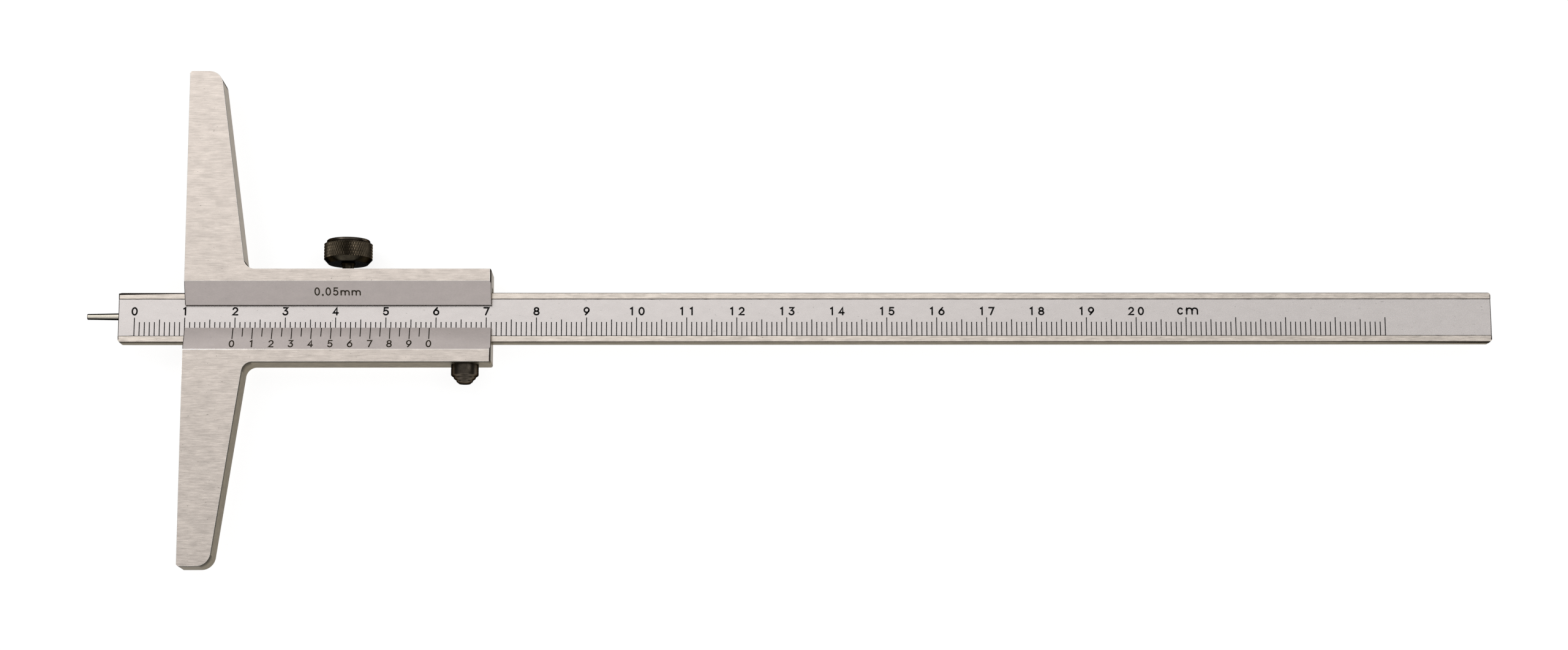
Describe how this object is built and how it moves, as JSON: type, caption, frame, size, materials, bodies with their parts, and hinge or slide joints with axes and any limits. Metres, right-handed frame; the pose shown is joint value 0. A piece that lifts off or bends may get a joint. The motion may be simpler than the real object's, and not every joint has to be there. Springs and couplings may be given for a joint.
{
  "type": "vernier depth gauge",
  "caption": "Vernier depth gauge: a T-shaped bridge and slider with a bevelled window, a graduated rail with a slender depth pin, a knurled clamp screw and a thumb rest.",
  "frame": {"origin": "on the bridge's measuring face, at the rail's centre line, level with the back face", "axes": "+X along the rail away from the depth pin, +Y along the bridge towards the clamp screw's side, +Z out of the graduated front face"},
  "size_m": [0.2811, 0.1, 0.0098],
  "materials": {
    "bridge_steel": "warm grey stainless steel, brushed along the rail on the lands and satin on the bevels",
    "rail_steel": "pale satin field between brushed ribs, with dark graduation lines and numbers",
    "pin_steel": "drawn and ground spring steel",
    "spring_steel": "plain rolled strip",
    "black_screw": "black oxide on steel, knurled",
    "black_rest": "black oxide on turned steel"
  },
  "bodies": {
    "bridge": {"bridge": "bridge_steel", "thumb_rest": "black_rest"},
    "rail": {"rail": "rail_steel", "depth_pin": "pin_steel"},
    "gib": {"gib_strip": "spring_steel"},
    "clamp": {"clamp_screw": "black_screw"}
  },
  "joints": [
    {"name": "rail_slide", "type": "slide", "parent": "bridge", "child": "rail", "axis": [-1, 0, 0], "range_m": [-0.01975, 0.18025]},
    {"name": "gib_travel", "type": "slide", "parent": "bridge", "child": "gib", "axis": [0, 1, 0], "range_m": [-0.00009, 0.00027]},
    {"name": "clamp_turn", "type": "hinge", "parent": "gib", "child": "clamp", "pos_m": [0.032, 0.00945, 0.0032], "axis": [0, 1, 0], "range_deg": [-74, 218]}
  ],
  "couplings": [
    {"joint": "clamp_turn", "follows": "gib_travel", "rad_per_m": 13963}
  ]
}
